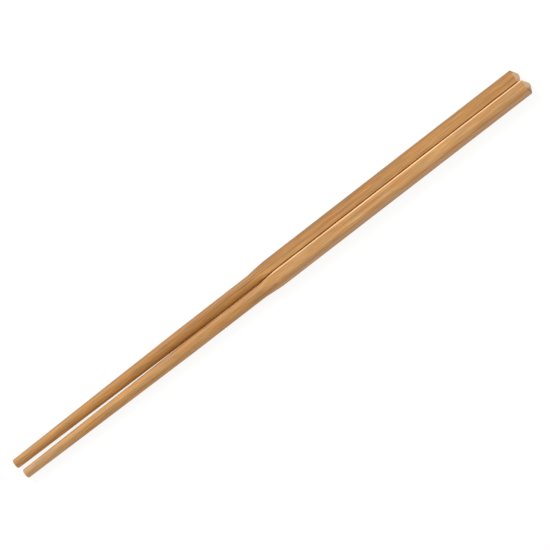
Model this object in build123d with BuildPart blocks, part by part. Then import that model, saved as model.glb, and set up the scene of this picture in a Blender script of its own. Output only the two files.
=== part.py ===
"""A pair of bamboo chopsticks lying side by side.

Each stick is one piece of bamboo: a square handle with softened edges and a low four-sided point on
its end, and a round shaft turned from the same bar, which tapers from a parallel neck to the tip.

The sticks lie along X with their handles towards +X, on the surface Z = 0, and the origin is at the
bottom centre of the pair.
"""

import os
from math import sqrt

from build123d import *

os.makedirs("parts", exist_ok=True)

# Driving dimensions, in millimetres
stick_length = 240.0  # from the tip to the end of the handle's point
handle_side = 5.3  # square section of the handle
edge_radius = 0.55  # rounding of the handle's four long edges
butt_height = 1.6  # low four-sided point on the end of the handle
butt_flat = 1.0  # blunt square on top of that point
butt_flat_radius = 0.3  # rounding of the blunt square's corners
butt_rim_radius = 0.3  # softening where the point meets the handle's sides
shaft_length = 114.5  # turned round, from the tip to the foot of the shoulder
neck_length = 36.0  # parallel stretch of the shaft next to the shoulder
neck_relief = 0.02  # how far the neck is turned below the handle's flats
taper_blend_radius = 1000.0  # long easy curve from the taper into the neck
shoulder_length = 8.0  # over which the round grows out to the handle's edges
shoulder_blend_radius = 30.0  # hollow curve from the neck into the shoulder
tip_diameter = 3.8
tip_radius = 0.4  # rounding of the tip's rim
handle_gap = 0.3  # slit between the two handles
stagger = 1.4  # the front stick lies this much further towards its handle

# Values worked out from them
neck_radius = handle_side / 2 - neck_relief
edge_reach = sqrt(2) * (handle_side / 2 - edge_radius) + edge_radius  # from the axis out to a long edge
clear_radius = handle_side  # from the axis, well outside the long edges
clear_start = shaft_length + shoulder_length * (clear_radius - neck_radius) / (edge_reach - neck_radius)
point_start = stick_length - butt_height
pair_length = stick_length + stagger


def make_stick(name, side, shift):
    """Make one stick. side is +1 or -1 across the pair, and shift moves it along towards the handle."""
    tip = Vector(shift - pair_length / 2, side * (handle_side + handle_gap) / 2, handle_side / 2)
    section = Plane(origin=tip, x_dir=(0, 1, 0), z_dir=(1, 0, 0))
    profile = Plane(origin=tip, x_dir=(1, 0, 0), z_dir=(0, -1, 0))

    with BuildPart() as stick:
        # The square bar
        with BuildSketch(section):
            RectangleRounded(handle_side, handle_side, edge_radius)
        extrude(amount=point_start)

        # The point: four flat facets up to a small blunt square
        with BuildSketch(section.offset(point_start)):
            RectangleRounded(handle_side, handle_side, edge_radius)
        with BuildSketch(section.offset(stick_length)):
            RectangleRounded(butt_flat, butt_flat, butt_flat_radius)
        loft(ruled=True)
        rim = stick.edges().group_by(Axis.X)[-3]  # next in from the ridges and the blunt square
        fillet(rim, butt_rim_radius)

        # The turning: only what lies inside this round envelope stays. Its shoulder runs out past the
        # long edges, so each edge dies away in a point and each flat ends in a scallop.
        with BuildSketch(profile):
            with BuildLine():
                outline = FilletPolyline(
                    (0, tip_diameter / 2),
                    (shaft_length - neck_length, neck_radius),
                    (shaft_length, neck_radius),
                    (clear_start, clear_radius),
                    radius=[taper_blend_radius, shoulder_blend_radius],
                )
                Polyline(
                    outline @ 1,
                    (stick_length, clear_radius),
                    (stick_length, 0),
                    (0, 0),
                    outline @ 0,
                )
            make_face()
        revolve(axis=Axis(tip, (1, 0, 0)), mode=Mode.INTERSECT)

        # The tip's rim
        fillet(stick.faces().sort_by(Axis.X)[0].edges(), tip_radius)

    stick.part.label = name
    export_step(stick.part, f"parts/{name}.step")


make_stick("rear_stick", side=1, shift=0.0)
make_stick("front_stick", side=-1, shift=stagger)
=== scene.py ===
# %% [markdown]
# # A pair of bamboo chopsticks
# Each stick is one piece of bamboo. A square bar is cut from the wall of a thick stem and steamed until it
# is caramel brown. One end is ground to a low point, the other half is turned round and tapered, and then
# the sticks are tumbled with grit until every edge is soft.
# The solid model holds those forms at their real size. This lesson gives them a fine skin made by one rule,
# the fibres and colour of steamed bamboo, a pale floor, soft light and a camera.

# %% Load the solid model
from math import cos, log, pi, radians, sin, sqrt

import bpy
from mathutils import Matrix, Vector


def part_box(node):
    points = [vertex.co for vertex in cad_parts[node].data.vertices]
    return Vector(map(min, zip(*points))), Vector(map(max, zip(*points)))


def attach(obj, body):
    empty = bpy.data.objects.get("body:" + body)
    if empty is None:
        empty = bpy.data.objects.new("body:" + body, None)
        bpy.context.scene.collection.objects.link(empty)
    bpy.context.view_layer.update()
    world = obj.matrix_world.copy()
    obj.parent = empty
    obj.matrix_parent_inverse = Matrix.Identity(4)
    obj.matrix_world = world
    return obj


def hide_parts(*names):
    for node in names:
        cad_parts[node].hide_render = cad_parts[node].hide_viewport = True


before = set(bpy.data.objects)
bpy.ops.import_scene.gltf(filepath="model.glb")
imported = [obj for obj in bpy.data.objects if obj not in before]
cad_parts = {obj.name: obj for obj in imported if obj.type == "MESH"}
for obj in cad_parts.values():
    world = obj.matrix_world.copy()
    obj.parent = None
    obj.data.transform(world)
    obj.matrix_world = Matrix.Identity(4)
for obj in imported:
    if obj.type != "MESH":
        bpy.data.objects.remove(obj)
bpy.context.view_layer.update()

# %% [markdown]
# ## The sizes of a stick
# The length and the side of the square handle are read from the solid model, so the skin fits it to a
# hair. The other sizes are a maker's notes in millimetres, and they are the named inputs of the rule below,
# so that another stick could be made by changing a number there.

# %% Write down the sizes
MM = 0.001
stick_low, stick_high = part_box("rear_stick")
half_side = (stick_high.z - stick_low.z) / 2
edge_rounding = 0.55 * MM
edge_reach = sqrt(2) * (half_side - edge_rounding) + edge_rounding
neck_step = 0.02 * MM
neck_radius = half_side - neck_step
shoulder_length = 8.0 * MM

stick_sizes = {
    "Length": stick_high.x - stick_low.x,
    "Half Side": half_side,
    "Squareness": log(2) / log(sqrt(2) * half_side / edge_reach),
    "Point Height": 1.6 * MM,
    "Point Half Flat": 0.5 * MM,
    "Point Softness": 0.2 * MM,
    "Shaft Length": 114.5 * MM,
    "Neck Length": 36.0 * MM,
    "Neck Radius": neck_radius,
    "Taper Softness": 0.06 * MM,
    "Shoulder Slope": (edge_reach - neck_radius) / shoulder_length,
    "Shoulder Softness": 0.22 * MM,
    "Tip Radius": 1.9 * MM,
    "Tip Rounding": 0.4 * MM,
    "Turning Softness": 0.06 * MM,
    "Waviness": 0.015 * MM,
    "Edge Wear": 0.06 * MM,
    # The dense layer is also where painted shade lies on the outer side
    "Dense And Shade Layer": 2.0 * MM,
    "Washed Length": 36.0 * MM,
}
print("one stick is", round(stick_sizes["Length"] / MM, 1), "mm long and", round(2 * half_side / MM, 2),
      "mm square, and its edges reach", round(edge_reach / MM, 2), "mm from the axis")

# %% [markdown]
# ## One rule for the whole skin
# A stick has no parts to assemble: at every place along it, its section is either the square bar or the
# circle that the turning left, whichever is smaller. That is a rule, so Geometry Nodes can make the skin. A
# flat grid is rolled into a tube, and each point is put as far from the axis as the rule says. The same
# could be cut with booleans, but a rolled grid has clean rows, no slivers, and soft edges exactly where they
# belong. A node tree is long to build by hand, so one small function adds a node, sets it and links it.

# %% Start the tree
MATH = "ShaderNodeMath"
RANGE = "ShaderNodeMapRange"


def add(tree, kind, inputs=(), **settings):
    """Add a node, set it, and fill its inputs, in order or by name, with values, outputs or other nodes."""
    node = tree.nodes.new(kind)
    for name, setting in settings.items():
        setattr(node, name, setting)
    for key, given in inputs.items() if isinstance(inputs, dict) else enumerate(inputs):
        if isinstance(key, int):
            socket = node.inputs[key]
        else:
            socket = next(s for s in node.inputs if s.name == key and s.enabled)
        if isinstance(given, bpy.types.Node):
            given = next(s for s in given.outputs if s.enabled)
        if isinstance(given, bpy.types.NodeSocket):
            tree.links.new(given, socket)
        else:
            socket.default_value = given
    return node


skin = bpy.data.node_groups.new("stick by rule", "GeometryNodeTree")
skin.interface.new_socket("Stick", in_out="OUTPUT", socket_type="NodeSocketGeometry")
input_kinds = {"Tip Point": "NodeSocketVector", "Finish": "NodeSocketMaterial", "Seed": "NodeSocketFloat",
               "Tone": "NodeSocketFloat", "Partner Side": "NodeSocketFloat"}
input_kinds.update({name: "NodeSocketFloat" for name in stick_sizes})
identifiers = {}
for name, kind in input_kinds.items():
    identifiers[name] = skin.interface.new_socket(name, in_out="INPUT", socket_type=kind).identifier
given = add(skin, "NodeGroupInput").outputs
print("the rule takes", len(identifiers), "inputs")

# %% [markdown]
# ## Rows along, columns round
# The grid is one unit square. Its X becomes the place along the stick, and its Y becomes the turn round the
# axis. Rows crowd together at the two ends, where a rim or a point needs them, and columns crowd together at
# the four long edges, because a softened edge is less than a millimetre wide.

# %% Lay out the grid
MIX = "ShaderNodeMix"
rows = 800
columns = 104
grid_side = 1.0
even_share = 0.1
edge_crowding = 0.2

# The grid has its middle at zero, so half its side is added to count from its first row and column
grid = add(skin, "GeometryNodeMeshGrid",
           {"Size X": grid_side, "Size Y": grid_side, "Vertices X": rows + 1, "Vertices Y": columns + 1})
place = add(skin, "ShaderNodeSeparateXYZ", [add(skin, "GeometryNodeInputPosition")]).outputs
row = add(skin, MATH, [place["X"], grid_side / 2], operation="ADD")
column = add(skin, MATH, [place["Y"], grid_side / 2], operation="ADD")

eased_row = add(skin, RANGE, {"Value": row}, interpolation_type="SMOOTHSTEP")
spread_row = add(skin, MIX, {"Factor": even_share, "A": eased_row, "B": row})
along = add(skin, MATH, [spread_row, given["Length"]], operation="MULTIPLY")

# The columns run backwards round the axis, so that the faces look outwards
even_turn = add(skin, MATH, [column, -2 * pi], operation="MULTIPLY")
four_times = add(skin, MATH, [even_turn, 4.0], operation="MULTIPLY")
crowd = add(skin, MATH, [four_times], operation="SINE")
turn = add(skin, MATH, [crowd, edge_crowding, even_turn], operation="MULTIPLY_ADD")
across = add(skin, MATH, [turn], operation="COSINE")
upward = add(skin, MATH, [turn], operation="SINE")
print("the grid has", rows * columns, "faces")

# %% [markdown]
# ## The square bar and its point
# A square with soft corners is a superellipse: a circle's formula with a power of about eleven instead of
# two. The power is worked out so that the corners reach as far out as the rounded edges of the solid. Near
# the end the square shrinks in a straight line to a small blunt flat, which makes the four facets of the
# point, and a smooth minimum rounds the rim where the facets meet the sides.

# %% Shape the square bar
point_start = add(skin, MATH, [given["Length"], given["Point Height"]], operation="SUBTRACT")
facet = add(skin, RANGE, {"Value": along, "From Min": point_start, "From Max": given["Length"],
                          "To Min": given["Half Side"], "To Max": given["Point Half Flat"]}, clamp=False)
half = add(skin, MATH, [given["Half Side"], facet, given["Point Softness"]], operation="SMOOTH_MIN")

powers = []
for direction in (across, upward):
    positive = add(skin, MATH, [direction], operation="ABSOLUTE")
    powers.append(add(skin, MATH, [positive, given["Squareness"]], operation="POWER"))
both = add(skin, MATH, powers, operation="ADD")
root = add(skin, MATH, [-1.0, given["Squareness"]], operation="DIVIDE")
reach = add(skin, MATH, [both, root], operation="POWER")
bar = add(skin, MATH, [half, reach], operation="MULTIPLY")
print("squareness power", round(stick_sizes["Squareness"], 2))

# %% [markdown]
# ## The turning
# A lathe cuts everything outside its own outline: a rounded tip, a long taper, a parallel neck, and a
# shoulder that runs out past the edges of the bar. Where the shoulder meets the bar, each flat ends in a
# scallop and each edge dies away in a slim point. No line has to be drawn for that: it comes from taking the
# smaller of the two radii.

# %% Turn the shaft
taper_end = add(skin, MATH, [given["Shaft Length"], given["Neck Length"]], operation="SUBTRACT")
taper = add(skin, RANGE, {"Value": along, "From Max": taper_end, "To Min": given["Tip Radius"],
                          "To Max": given["Neck Radius"]}, clamp=False)
shaft = add(skin, MATH, [taper, given["Neck Radius"], given["Taper Softness"]], operation="SMOOTH_MIN")

past_neck = add(skin, MATH, [along, given["Shaft Length"]], operation="SUBTRACT")
ramp = add(skin, MATH, [past_neck, given["Shoulder Slope"]], operation="MULTIPLY")
shoulder = add(skin, MATH, [ramp, 0.0, given["Shoulder Softness"]], operation="SMOOTH_MAX")

# The tip's rim is a quarter circle: how far it stands back from the taper, from 1 at the end face to 0
rim_share = add(skin, MATH, [along, given["Tip Rounding"]], operation="DIVIDE", use_clamp=True)
rim_rest = add(skin, MATH, [2.0, rim_share], operation="SUBTRACT")
rim_square = add(skin, MATH, [rim_share, rim_rest], operation="MULTIPLY")
rim_height = add(skin, MATH, [rim_square], operation="SQRT")
rim_inset = add(skin, MATH, [1.0, rim_height], operation="SUBTRACT")
rim_cut = add(skin, MATH, [rim_inset, given["Tip Rounding"]], operation="MULTIPLY")

widened = add(skin, MATH, [shaft, shoulder], operation="ADD")
turned = add(skin, MATH, [widened, rim_cut], operation="SUBTRACT")
sharp_radius = add(skin, MATH, [bar, turned, given["Turning Softness"]], operation="SMOOTH_MIN")
print("the shoulder rises", round(stick_sizes["Shoulder Slope"], 3), "mm in each mm")

# %% [markdown]
# ## What tumbling and use leave
# Grit does not wear a stick evenly: it leaves long shallow waves, about a hundredth of a millimetre deep.
# The two edges next to the other stick rub on it, and they are worn a little more in some places than in
# others. That is too little to see as a shape, but it breaks up the light that runs along an edge. All wear
# goes inwards, so it never makes the stick larger than its solid.

# %% Wear the skin down
NOISE = "ShaderNodeTexNoise"
wave_length = 24.0 * MM
nick_length = 5.0 * MM
wear_detail = 2.0

wear = {}
for name, stretch in (("wave", wave_length), ("nick", nick_length)):
    travelled = add(skin, MATH, [along, stretch], operation="DIVIDE")
    spot = add(skin, "ShaderNodeCombineXYZ", [travelled, across, upward])
    wear[name] = add(skin, NOISE, {"Vector": spot, "W": given["Seed"], "Scale": 1.0, "Detail": wear_detail},
                     noise_dimensions="4D").outputs[0]

# An edge lies where across and upward are of one size, so that their product is a half. A rubbed one is on
# the handle, by the partner. Besides the wear, its note carries a painted highlight, for on the front stick
# that edge faces the lamp.
edge_width = {"From Min": 0.46, "From Max": 0.495}
partner_half = {"From Min": 0.3, "From Max": 0.6}
diagonal = add(skin, MATH, [across, upward], operation="MULTIPLY")
diagonal_size = add(skin, MATH, [diagonal], operation="ABSOLUTE")
near_edge = add(skin, RANGE, {"Value": diagonal_size, **edge_width}, interpolation_type="SMOOTHSTEP")
facing = add(skin, MATH, [across, given["Partner Side"]], operation="MULTIPLY")
by_partner = add(skin, RANGE, {"Value": facing, **partner_half})
handle_start = add(skin, MATH, [given["Shaft Length"], shoulder_length], operation="ADD")
on_handle = add(skin, RANGE, {"Value": along, "From Min": given["Shaft Length"], "From Max": handle_start},
                interpolation_type="SMOOTHSTEP")
inner_edge = add(skin, MATH, [near_edge, by_partner], operation="MULTIPLY")
worn_and_highlit_edge = add(skin, MATH, [inner_edge, on_handle], operation="MULTIPLY")

wave_depth = add(skin, MATH, [wear["wave"], given["Waviness"]], operation="MULTIPLY")
nick_depth = add(skin, MATH, [wear["nick"], given["Edge Wear"]], operation="MULTIPLY")
edge_depth = add(skin, MATH, [nick_depth, worn_and_highlit_edge, wave_depth], operation="MULTIPLY_ADD")
radius = add(skin, MATH, [sharp_radius, edge_depth], operation="SUBTRACT")
print("waves", wave_length / MM, "mm long and edge wear", nick_length / MM, "mm long")

# %% [markdown]
# ## Roll the grid up
# The first and the last row have no radius, so they gather into one point in the middle of the tip and in
# the middle of the blunt flat. Merging by distance then closes these two poles and the seam along the stick.

# %% Place the points
half_row = 0.5 / rows
not_first = add(skin, MATH, [row, half_row], operation="GREATER_THAN")
not_last = add(skin, MATH, [row, 1 - half_row], operation="LESS_THAN")
open_row = add(skin, MATH, [not_first, not_last], operation="MULTIPLY")
final_radius = add(skin, MATH, [radius, open_row], operation="MULTIPLY")
side_step = add(skin, MATH, [final_radius, across], operation="MULTIPLY")
up_step = add(skin, MATH, [final_radius, upward], operation="MULTIPLY")
from_tip = add(skin, "ShaderNodeCombineXYZ", [along, side_step, up_step])
spot = add(skin, "ShaderNodeVectorMath", [from_tip, given["Tip Point"]], operation="ADD")
print("all rows are open but the first and the last of", rows + 1)

# %% [markdown]
# ## Notes for the finish
# A material knows where a point is, but not what was done to the wood there. The rule does know, so it
# leaves five notes on the skin as named attributes: where an edge is rubbed and takes a painted highlight,
# where the wood is cut across its fibres, where it is densest and takes painted shade, where it is often
# washed, and how deep the whole stick is in tone. Then the tree ends with real faces and their finish,
# because instances would be lost in an export.

# %% Leave the notes and finish the tree
merge_distance = 0.001 * MM
falling = {"To Min": 1.0, "To Max": 0.0}

# How deep a point lies under the outer face of the bar, which is the one away from the partner
depth = add(skin, MATH, [side_step, given["Partner Side"], given["Half Side"]], operation="MULTIPLY_ADD")
# Dense wood lies near the outer face, and this note also paints shade there: on the front stick that face
# turns away from the lamp
dense_and_shade = add(skin, RANGE, {"Value": depth, "From Max": given["Dense And Shade Layer"], **falling},
            interpolation_type="SMOOTHSTEP")
# The cut faces take a paler stain in the material, which also paints the sheen on a point's upper facets
tip_cut = add(skin, MATH, [1.0, rim_share], operation="SUBTRACT")
point_cut = add(skin, MATH, [along, point_start], operation="GREATER_THAN")
end_grain = add(skin, MATH, [tip_cut, point_cut], operation="MAXIMUM")
washed_end = add(skin, RANGE, {"Value": along, "From Max": given["Washed Length"], **falling},
                 interpolation_type="SMOOTHSTEP")

geometry = grid
# The edge note also carries a painted highlight, and the dense note painted shade
notes = {"rubbed_and_highlit_edge": worn_and_highlit_edge, "end_grain": end_grain, "dense_wood_and_shade": dense_and_shade, "washed_end": washed_end,
         "tone": given["Tone"]}
for note, value in notes.items():
    geometry = add(skin, "GeometryNodeStoreNamedAttribute",
                   {"Geometry": geometry, "Name": note, "Value": value})
geometry = add(skin, "GeometryNodeSetPosition", {"Geometry": geometry, "Position": spot})
geometry = add(skin, "GeometryNodeMergeByDistance", {"Geometry": geometry, "Distance": merge_distance})
geometry = add(skin, "GeometryNodeSetShadeSmooth", {"Geometry": geometry})
geometry = add(skin, "GeometryNodeRealizeInstances", {"Geometry": geometry})
geometry = add(skin, "GeometryNodeSetMaterial", {"Geometry": geometry, "Material": given["Finish"]})
add(skin, "NodeGroupOutput", [geometry])
print("the tree has", len(skin.nodes), "nodes and leaves", len(notes), "notes")

# %% [markdown]
# ## The grain of bamboo
# Bamboo is full of straight fibres. They run in bundles, dark threads up to half a millimetre thick in a
# paler ground, and a bundle slips in and out of the cut face along the stick. So the sides show long fine
# streaks and the cut ends show dots. A solid texture gives both at once: round cells, drawn out along the
# stick. Steaming turns the sugar in the wood to caramel, and that is uneven too: it lies in long patches and
# in short ones like drops of honey.

# %% Lay out the grain
# Length, width and height of one mark in millimetres. The fibres inside the bundles and the ground are far
# thinner than here, too fine to show, so they are drawn as streaks a third of a millimetre wide.
GRAIN = {
    "bundle": (110.0, 0.6, 0.6),
    "fibre": (7.0, 0.3, 0.3),
    "caramel": (60.0, 2.6, 2.6),
    "honey": (9.0, 1.6, 1.6),
}
grain_detail = 4.0

bamboo = bpy.data.materials.new("sanded_caramel_bamboo")
bamboo.use_nodes = True
wood = bamboo.node_tree
wood.nodes.clear()
inside = add(wood, "ShaderNodeTexCoord").outputs["Object"]
drawn = {}
for name, size in GRAIN.items():
    scale = [1 / (millimetres * MM) for millimetres in size]
    drawn[name] = add(wood, "ShaderNodeMapping", {"Vector": inside, "Scale": scale})

# In shares of a cell: a bundle is darkest up to the first distance from its middle and ends at the second
bundle_width = {"From Min": 0.16, "From Max": 0.36}
cells = add(wood, "ShaderNodeTexVoronoi", {"Vector": drawn["bundle"], "Scale": 1.0})
bundle = add(wood, RANGE, {"Value": cells.outputs["Distance"], **bundle_width, **falling},
             interpolation_type="SMOOTHSTEP")
fibre, caramel, honey = [
    add(wood, NOISE, {"Vector": drawn[name], "Scale": 1.0, "Detail": grain_detail}).outputs[0]
    for name in ("fibre", "caramel", "honey")]
print("grain of", len(GRAIN), "kinds of mark")

# %% [markdown]
# ## The ground colour
# Steamed bamboo is tan where it took little heat and brown where it took more, and the two run into each
# other. A stick cut near the outside of the stem is deeper in colour than one from further in, which is what
# the tone says. So the caramel noise mixes a pale pair of colours and a deep pair, and the tone chooses
# between the two. The colours are written in hex, as a screen shows them, and one function turns them into
# the values that Blender counts in.

# %% Colour the ground
def linear(hex_colour):
    """Turn an sRGB hex colour into the linear values that Blender's sockets take."""
    channels = [int(hex_colour[i:i + 2], 16) / 255 for i in (1, 3, 5)]
    return [c / 12.92 if c <= 0.04045 else ((c + 0.055) / 1.055) ** 2.4 for c in channels] + [1.0]


# The edge, cut and dense notes also carry a painted highlight, a painted sheen and painted shade
rubbed_and_highlit_note, cut_note, dense_and_shade_note, washed_note, tone_note = [
    add(wood, "ShaderNodeAttribute", attribute_name=note).outputs["Fac"] for note in notes]

# A noise seldom goes past these two values, so they stand for its lowest and its highest
usual_noise = {"From Min": 0.3, "From Max": 0.7}
steamed = add(wood, RANGE, {"Value": caramel, **usual_noise})
pale_stick = add(wood, MIX, {"Factor": steamed, "A": linear("#ca9a5c"), "B": linear("#b48146")},
                 data_type="RGBA")
deep_stick = add(wood, MIX, {"Factor": steamed, "A": linear("#bb863f"), "B": linear("#9d672a")},
                 data_type="RGBA")
ground = add(wood, MIX, {"Factor": tone_note, "A": pale_stick, "B": deep_stick}, data_type="RGBA")
print("a ground colour that follows the caramel and the tone")

# %% [markdown]
# ## Stains and fibres
# Over that ground lie thin stains: orange where the caramel is thick, brown on the threads, pale where an
# edge is rubbed, with a painted highlight along it, greyer where washing draws the colour out of a tip, and
# paler and duller where a face is cut across the fibres, which also paints the sheen on a point's upper
# facets. The bundles crowd together towards the outside of the stem, so the side of each bar that came from
# there is browner, most of all on the deeper stick and on a cut end; that brown is also painted shade, since
# on the front stick the outer side faces away from the lamp. The paler stick is the softer one: its edges
# are more rubbed and its tip is more faded, and its rubbed edges, which face the lamp, carry the painted
# highlight.
# The eye then sees two sticks of one kind that are not the same. A stain could be painted on an image, but a
# mix for each stain follows the wood from every side, and its strength stays easy to change.

# %% Stain the bamboo
honey_strength = {"From Min": 0.45, "From Max": 0.7, "To Min": 0.0, "To Max": 0.7}
thread_strength = 0.6
cut_and_sheen_strength = 0.6
cut_browning_and_shade = 0.72
# A brown for the threads, and for the outer browning that is partly painted shade
bundle_and_shade_brown = "#74451a"

# The strengths that follow the tone, first on a pale stick and then on a deep one
# The rubbing is also a painted highlight on the pale stick's edges by its partner, which face the lamp
rubbing_and_highlight = add(wood, RANGE, {"Value": tone_note, "To Min": 1.0, "To Max": 0.0})
fading = add(wood, RANGE, {"Value": tone_note, "To Min": 0.3, "To Max": 0.05})
# The browning is denser wood and also painted shade on the outer side, away from the lamp on the front stick
browning_and_shade = add(wood, RANGE, {"Value": tone_note, "To Min": 0.25, "To Max": 0.55})

orange = add(wood, RANGE, {"Value": honey, **honey_strength})
thread = add(wood, MATH, [bundle, thread_strength], operation="MULTIPLY")
rubbed_and_highlit = add(wood, MATH, [rubbed_and_highlit_note, rubbing_and_highlight], operation="MULTIPLY")
faded = add(wood, MATH, [washed_note, fading], operation="MULTIPLY")
# Cut faces are paler end grain, and the same pale also paints the sheen on a point's upper facets
cut_and_sheen = add(wood, MATH, [cut_note, cut_and_sheen_strength], operation="MULTIPLY")
# Painted shade: the outer cut facets are browned most, which keeps the front stick's facets dark on the side
# away from the lamp
showing_and_shade = add(wood, MATH, [cut_note, cut_browning_and_shade, browning_and_shade], operation="MULTIPLY_ADD", use_clamp=True)
crowded_and_shaded = add(wood, MATH, [dense_and_shade_note, showing_and_shade], operation="MULTIPLY")

colour = ground
# The rubbed stain is also a painted highlight, the cut stain also a painted sheen, the outer brown also
# painted shade
stains = ((orange, "#c17f33"), (thread, bundle_and_shade_brown), (rubbed_and_highlit, "#fbc78e"), (faded, "#c8af8c"),
          (cut_and_sheen, "#dfbc92"), (crowded_and_shaded, bundle_and_shade_brown))
for strength, stain in stains:
    colour = add(wood, MIX, {"Factor": strength, "A": colour, "B": linear(stain)}, data_type="RGBA")

# Last, each fibre is a little darker or lighter than the next
fibre_shades = {"From Min": 0.25, "From Max": 0.75, "To Min": 0.68, "To Max": 1.28}
shade = add(wood, RANGE, {"Value": fibre, **fibre_shades})
colour = add(wood, MIX, {"Factor": 1.0, "A": colour, "B": shade}, data_type="RGBA", blend_type="MULTIPLY")
print(len(stains), "stains over the ground colour")

# %% [markdown]
# ## The sanded surface
# Fine grit leaves a satin surface: it is not glossy, but a soft light runs along the round shafts. The hard
# bundles wear less than the ground between them, so they stand a few hundredths of a millimetre proud. That
# is too fine for the faces of the skin, so it is a bump in the material.

# %% Sand the bamboo
relief_depth = 0.03 * MM
relief_strength = 0.5
bundle_rise = 0.5
satin = {"To Min": 0.44, "To Max": 0.58}

roughness = add(wood, RANGE, {"Value": fibre, **usual_noise, **satin})
relief = add(wood, MATH, [bundle, bundle_rise, fibre], operation="MULTIPLY_ADD")
bump = add(wood, "ShaderNodeBump",
           {"Strength": relief_strength, "Distance": relief_depth, "Height": relief})
surface = add(wood, "ShaderNodeBsdfPrincipled",
              {"Base Color": colour, "Roughness": roughness, "Normal": bump, "IOR": 1.5})
add(wood, "ShaderNodeOutputMaterial", {"Surface": surface})
print("the bamboo has", len(wood.nodes), "nodes")

# %% [markdown]
# ## Two sticks from one rule
# The rule runs twice, each time with the place of one stick's tip. The stick at the back came from darker
# wood, so it has more tone. The result is made a plain mesh, which has the place of the stick in its points,
# and it stands for the stick's solid.

# %% Make the two sticks
TONES = {"rear_stick": 0.85, "front_stick": 0.1}

for seed, (node, tone) in enumerate(TONES.items()):
    low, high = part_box(node)
    partner_side = 1.0 if high.y < 0 else -1.0
    stick = bpy.data.objects.new(node + "_bamboo", bpy.data.meshes.new("empty"))
    bpy.context.scene.collection.objects.link(stick)
    rule = stick.modifiers.new("stick by rule", "NODES")
    rule.node_group = skin
    values = dict(stick_sizes, Finish=bamboo, Seed=float(seed), Tone=tone)
    values["Tip Point"] = (low.x, (low.y + high.y) / 2, (low.z + high.z) / 2)
    values["Partner Side"] = partner_side
    for name, value in values.items():
        rule[identifiers[name]] = value
    graph = bpy.context.evaluated_depsgraph_get()
    mesh = bpy.data.meshes.new_from_object(stick.evaluated_get(graph), depsgraph=graph)
    mesh.materials.pop(index=0)  # the grid's own slot, which is empty
    stick.modifiers.clear()
    stick.data = mesh
    mesh.name = stick.name
    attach(stick, "root")
    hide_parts(node)
    print(stick.name, "has", len(mesh.vertices), "points and", len(mesh.polygons), "faces of",
          mesh.materials[mesh.polygons[0].material_index].name)

# %% [markdown]
# ## The floor
# The sticks lie on a plain white floor. Thin things look heavy if their shadows are dark. So the floor is a
# light table: a matt opal sheet, lit from below, that fills the shadows with light of its own.

# %% Lay the floor
floor_reach = 3.0
floor_glow = 0.86

corners = [(-floor_reach, -floor_reach, 0), (floor_reach, -floor_reach, 0),
           (floor_reach, floor_reach, 0), (-floor_reach, floor_reach, 0)]
floor_mesh = bpy.data.meshes.new("floor")
floor_mesh.from_pydata(corners, [], [(0, 1, 2, 3)])
floor = bpy.data.objects.new("floor", floor_mesh)
bpy.context.scene.collection.objects.link(floor)
opal = bpy.data.materials.new("lit_opal_sheet")
opal.use_nodes = True
opal.node_tree.nodes.clear()
matt = add(opal.node_tree, "ShaderNodeBsdfPrincipled",
           {"Base Color": linear("#6b6b69"), "Roughness": 0.9, "Specular IOR Level": 0.0,
            "Emission Color": linear("#ffffff"), "Emission Strength": floor_glow})
add(opal.node_tree, "ShaderNodeOutputMaterial", {"Surface": matt})
floor_mesh.materials.append(opal)
print("a floor of", 2 * floor_reach, "by", 2 * floor_reach, "m")

# %% [markdown]
# ## The light
# Most of the light comes evenly from a white room. One large soft lamp stands behind the rear stick and
# shines down on it at a slant, so that the side towards it is a little brighter than the side towards the
# viewer, and a soft sheen runs along the shafts.

# %% Light the sticks
room_glow = 0.86
lamp_width = 0.5
lamp_power = 4.6
lamp_place = Vector((-0.15, 0.72, 0.72))

room = bpy.data.worlds.new("white room")
room.use_nodes = True
room.node_tree.nodes.clear()
glow = add(room.node_tree, "ShaderNodeBackground", {"Color": linear("#ffffff"), "Strength": room_glow})
add(room.node_tree, "ShaderNodeOutputWorld", {"Surface": glow})
bpy.context.scene.world = room

lamp_data = bpy.data.lights.new("large soft lamp", "AREA")
lamp_data.shape = "DISK"
lamp_data.size = lamp_width
lamp_data.energy = lamp_power
lamp = bpy.data.objects.new("large soft lamp", lamp_data)
lamp.location = lamp_place
lamp.rotation_mode = "QUATERNION"
lamp.rotation_quaternion = (-lamp_place).to_track_quat("-Z", "Y")
lamp.visible_camera = False
bpy.context.scene.collection.objects.link(lamp)
bpy.context.scene.view_settings.view_transform = "Standard"
print("a white room and one lamp of", lamp_power, "W,", round(lamp_place.length, 2), "m away")

# %% [markdown]
# ## Camera
# The camera looks down on the sticks from the front right, from a metre and a half away through a long lens,
# and it is tilted so that the sticks run from the lower left to the upper right of a square picture.

# %% Set up the camera
azimuth = radians(26.6)
elevation = radians(67.0)
tilt = radians(-62.49)
camera_place = Vector((264.17, -523.79, 1380.4)) * MM
focal_length = 264.17
sensor_width = 36.0

back = Vector((sin(azimuth) * cos(elevation), -cos(azimuth) * cos(elevation), sin(elevation)))
level_right = Vector((cos(azimuth), sin(azimuth), 0.0))
level_up = back.cross(level_right)
right = level_right * cos(tilt) + level_up * sin(tilt)
up = level_up * cos(tilt) - level_right * sin(tilt)

lens = bpy.data.cameras.new("camera")
lens.lens = focal_length
lens.sensor_width = sensor_width
camera = bpy.data.objects.new("camera", lens)
camera.matrix_world = Matrix.Translation(camera_place) @ Matrix((right, up, back)).transposed().to_4x4()
bpy.context.scene.collection.objects.link(camera)
bpy.context.scene.camera = camera
print("camera", round(camera_place.length, 3), "m from the middle of the pair")
